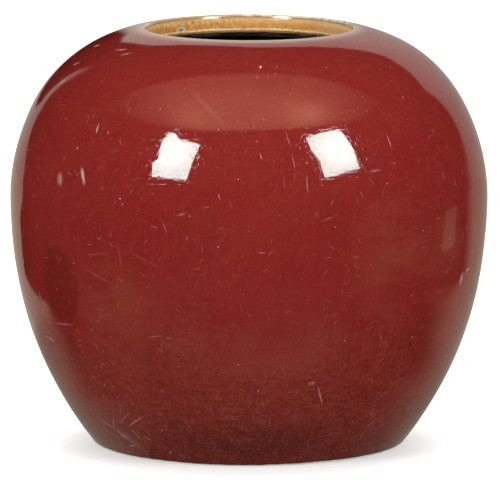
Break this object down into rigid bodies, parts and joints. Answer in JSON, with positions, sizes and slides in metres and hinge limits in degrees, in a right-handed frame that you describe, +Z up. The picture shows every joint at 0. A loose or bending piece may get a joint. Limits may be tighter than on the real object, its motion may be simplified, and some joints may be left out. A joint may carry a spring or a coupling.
{
  "type": "ginger jar",
  "caption": "Round-shouldered ceramic ginger jar with a wide open mouth and narrow foot, copper-red gloss glaze; holds dry goods or flowers.",
  "frame": {"origin": "centre of the foot's contact circle, on the surface the jar stands on", "axes": "+Z up along the axis the jar was thrown on, towards the mouth; it is round, so +X and +Y are any two directions square to it, and the side shown faces -Y"},
  "size_m": [0.212, 0.212, 0.1848],
  "materials": {
    "bare_clay": "matt, unglazed",
    "red_glaze": "high gloss copper-red glaze, mottled liver brown towards the foot",
    "amber_glaze": "gloss, crackled amber brown",
    "dark_glaze": "semi-gloss dark brown",
    "cream_glaze": "satin, crackled cream"
  },
  "bodies": {
    "root": {"foot_ring": "bare_clay", "lower_body": "bare_clay", "belly_luting_ring": "bare_clay", "upper_body": "bare_clay", "mouth_ring": "bare_clay", "outer_glaze": "red_glaze", "neck_glaze": "amber_glaze", "liner_glaze": "dark_glaze", "base_glaze": "cream_glaze"}
  },
  "joints": []
}
